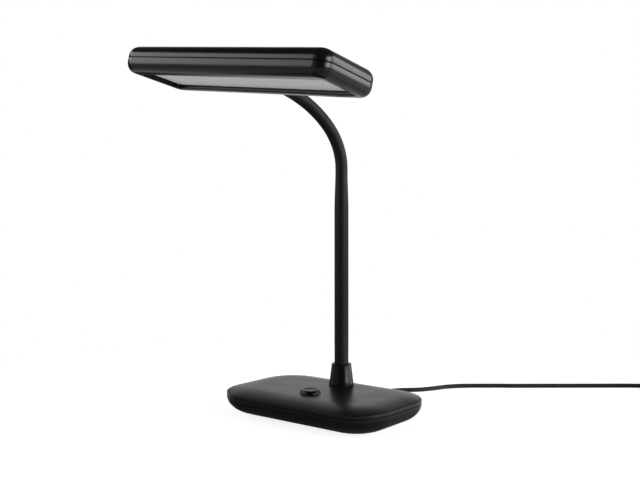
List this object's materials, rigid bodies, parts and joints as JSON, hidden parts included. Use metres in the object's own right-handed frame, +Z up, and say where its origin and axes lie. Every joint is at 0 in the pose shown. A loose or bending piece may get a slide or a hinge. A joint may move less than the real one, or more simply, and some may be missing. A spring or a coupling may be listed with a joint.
{
  "type": "gooseneck desk lamp",
  "caption": "Desk lamp with a flat rectangular LED head on a flexible gooseneck, a rounded weighted base with a push button, and a power cord.",
  "frame": {"origin": "on the table under the centre of the base, at the face of the rubber pad", "axes": "+Z up; -Y towards the front, where the head reaches; +X to the right seen from the front, along the long side of the base"},
  "size_m": [0.4018, 0.477, 0.3402],
  "materials": {
    "shell_black": "satin moulded ABS",
    "base_black": "finely grained ABS",
    "button_black": "satin",
    "trim_black": "polished",
    "silicone_black": "smooth matt silicone sleeve",
    "rubber_black": "matt",
    "cord_black": "smooth PVC jacket",
    "plug_black": "fine matt texture",
    "ballast": "as cast, painted",
    "zinc_steel": "zinc plated",
    "steel": "plain",
    "diffuser_opal": "frosted opal, light off",
    "white_plastic": "satin",
    "led_board_white": "solder mask",
    "led_yellow": "phosphor",
    "plate_aluminium": "mill",
    "board_green": "solder mask",
    "component_grey": "moulded",
    "component_black": "moulded",
    "contact_gold": "gold flash"
  },
  "bodies": {
    "base": {"base_lower_shell": "base_black", "base_top_cover": "base_black", "base_weight": "ballast", "weight_screws": "zinc_steel", "base_screws": "zinc_steel", "base_pad": "rubber_black", "neck_ferrule": "trim_black", "stem_tube": "steel", "stem_washer": "zinc_steel", "stem_nut": "zinc_steel", "stem_sleeve": "silicone_black", "neck_core_root": "steel", "switch_bezel": "trim_black", "switch_body": "component_black", "driver_board": "board_green", "board_parts": "component_grey", "board_screws": "zinc_steel", "strain_relief": "rubber_black", "power_cord": "cord_black", "power_cord_coil": "cord_black", "power_cord_tail": "cord_black", "plug_housing": "plug_black", "plug_shell": "zinc_steel", "plug_tongue": "white_plastic", "plug_contacts": "contact_gold"},
    "button": {"switch_button": "button_black", "switch_plunger": "white_plastic"},
    "neck_1": {"neck_core_1": "steel", "neck_sleeve_1": "silicone_black"},
    "neck_2": {"neck_core_2": "steel", "neck_sleeve_2": "silicone_black"},
    "neck_3": {"neck_core_3": "steel", "neck_sleeve_3": "silicone_black"},
    "neck_4": {"neck_core_4": "steel", "neck_sleeve_4": "silicone_black"},
    "neck_5": {"neck_core_5": "steel", "neck_sleeve_5": "silicone_black"},
    "neck_6": {"neck_core_6": "steel", "neck_sleeve_6": "silicone_black"},
    "neck_7": {"neck_core_7": "steel", "neck_sleeve_7": "silicone_black"},
    "head": {"neck_core_end": "steel", "neck_sleeve_end": "silicone_black", "neck_end_fitting": "zinc_steel", "neck_end_nut": "zinc_steel", "head_top_shell": "shell_black", "head_bottom_shell": "shell_black", "head_diffuser": "diffuser_opal", "reflector_tray": "white_plastic", "led_board": "led_board_white", "led_chips": "led_yellow", "carrier_plate": "plate_aluminium", "carrier_screws": "zinc_steel"}
  },
  "joints": [
    {"name": "switch_press", "type": "slide", "parent": "base", "child": "button", "axis": [0, 0, -1], "range_m": [0, 0.0012], "stiffness_N_per_m": 800},
    {"name": "neck_bend_1", "type": "hinge", "parent": "base", "child": "neck_1", "pos_m": [0, 0.03, 0.24075], "axis": [0.9291, -0.3697, 0], "range_deg": [-20, 10]},
    {"name": "neck_sway_1", "type": "hinge", "parent": "neck_1", "child": "neck_2", "pos_m": [-0.00153, 0.02615, 0.25569], "axis": [0.3563, 0.8953, 0.2673], "range_deg": [-18, 18]},
    {"name": "neck_bend_2", "type": "hinge", "parent": "neck_2", "child": "neck_3", "pos_m": [-0.00434, 0.01908, 0.26919], "axis": [0.9291, -0.3697, 0], "range_deg": [-20, 10]},
    {"name": "neck_bend_3", "type": "hinge", "parent": "neck_3", "child": "neck_4", "pos_m": [-0.00816, 0.0095, 0.28076], "axis": [0.9291, -0.3697, 0], "range_deg": [-20, 10]},
    {"name": "neck_sway_2", "type": "hinge", "parent": "neck_4", "child": "neck_5", "pos_m": [-0.01138, -0.00237, 0.29019], "axis": [0.2258, 0.5673, 0.7919], "range_deg": [-18, 18]},
    {"name": "neck_bend_4", "type": "hinge", "parent": "neck_5", "child": "neck_6", "pos_m": [-0.01378, -0.01585, 0.29746], "axis": [0.9695, -0.2248, -0.0975], "range_deg": [-20, 10]},
    {"name": "head_tilt_1", "type": "hinge", "parent": "neck_6", "child": "neck_7", "pos_m": [-0.01517, -0.03036, 0.30274], "axis": [0.9816, -0.1412, -0.1286], "range_deg": [-15, 15]},
    {"name": "head_tilt_2", "type": "hinge", "parent": "neck_7", "child": "head", "pos_m": [-0.01545, -0.04543, 0.30632], "axis": [0.9872, -0.0539, -0.15], "range_deg": [-15, 15]}
  ],
  "couplings": [
    {"joint": "neck_bend_2", "follows": "neck_bend_1", "ratio": 1},
    {"joint": "neck_bend_3", "follows": "neck_bend_1", "ratio": 1},
    {"joint": "neck_bend_4", "follows": "neck_bend_1", "ratio": 1},
    {"joint": "neck_sway_2", "follows": "neck_sway_1", "ratio": 1},
    {"joint": "head_tilt_2", "follows": "head_tilt_1", "ratio": 1}
  ]
}
